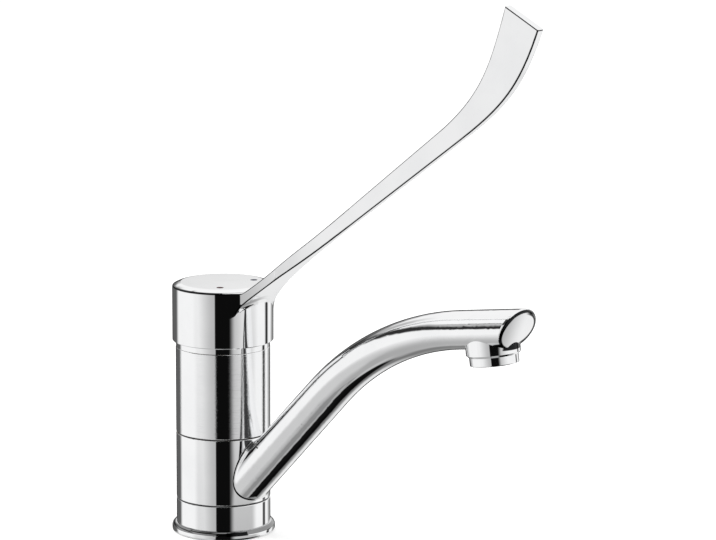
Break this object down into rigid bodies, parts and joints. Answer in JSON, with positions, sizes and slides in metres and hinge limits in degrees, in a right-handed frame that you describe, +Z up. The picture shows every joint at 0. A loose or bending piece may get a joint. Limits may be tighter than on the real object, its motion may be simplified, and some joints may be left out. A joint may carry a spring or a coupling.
{
  "type": "elbow lever tap",
  "caption": "Deck-mounted single-lever mixer tap with a long upright elbow lever, a swivelling spout and an aerator under its slanted end.",
  "frame": {"origin": "on the deck plane, at the middle of the column's foot", "axes": "+Z up along the column, +X along the spout and the lever, +Y to the cold side"},
  "size_m": [0.2147, 0.0514, 0.2748],
  "materials": {
    "chrome": "mirror polished",
    "black_rubber": "matt",
    "white_plastic": "moulded",
    "grey_plastic": "moulded",
    "brass": "turned",
    "ceramic": "lapped",
    "steel": "ground",
    "plug_grey": "gloss",
    "hot_red": "gloss",
    "cold_blue": "gloss"
  },
  "bodies": {
    "column": {"mixer_body": "chrome", "base_collar": "chrome", "base_ring": "chrome", "base_gasket": "black_rubber", "lower_glide_ring": "white_plastic", "upper_glide_ring": "white_plastic", "lower_spout_seal": "black_rubber", "upper_spout_seal": "black_rubber", "cover_ring": "chrome", "cartridge_nut": "brass", "cartridge_base": "grey_plastic", "port_seals": "black_rubber", "cartridge_housing": "white_plastic", "fixed_ceramic_disc": "ceramic"},
    "turret": {"lever_carrier": "white_plastic", "pivot_pin": "steel"},
    "lever": {"lever_stem": "brass", "elbow_lever": "chrome", "hot_dot": "hot_red", "cold_dot": "cold_blue", "grub_screw": "steel", "screw_plug": "plug_grey"},
    "disc": {"moving_ceramic_disc": "ceramic", "disc_carrier": "white_plastic"},
    "spout": {"spout": "chrome", "aerator_housing": "chrome", "aerator_seal": "black_rubber", "aerator_insert": "grey_plastic"}
  },
  "joints": [
    {"name": "spout_swivel", "type": "hinge", "parent": "column", "child": "spout", "pos_m": [0, 0, 0.034], "axis": [0, 0, 1], "range_deg": [-70, 70]},
    {"name": "temperature_turn", "type": "hinge", "parent": "column", "child": "turret", "pos_m": [0, 0, 0.085], "axis": [0, 0, 1], "range_deg": [-50, 50]},
    {"name": "flow_lift", "type": "hinge", "parent": "turret", "child": "lever", "pos_m": [0, 0, 0.093], "axis": [0, -1, 0], "range_deg": [0, 22]},
    {"name": "disc_slide", "type": "slide", "parent": "turret", "child": "disc", "axis": [1, 0, 0], "range_m": [0, 0.004]}
  ],
  "couplings": [
    {"joint": "disc_slide", "follows": "flow_lift", "m_per_rad": 0.010416}
  ]
}
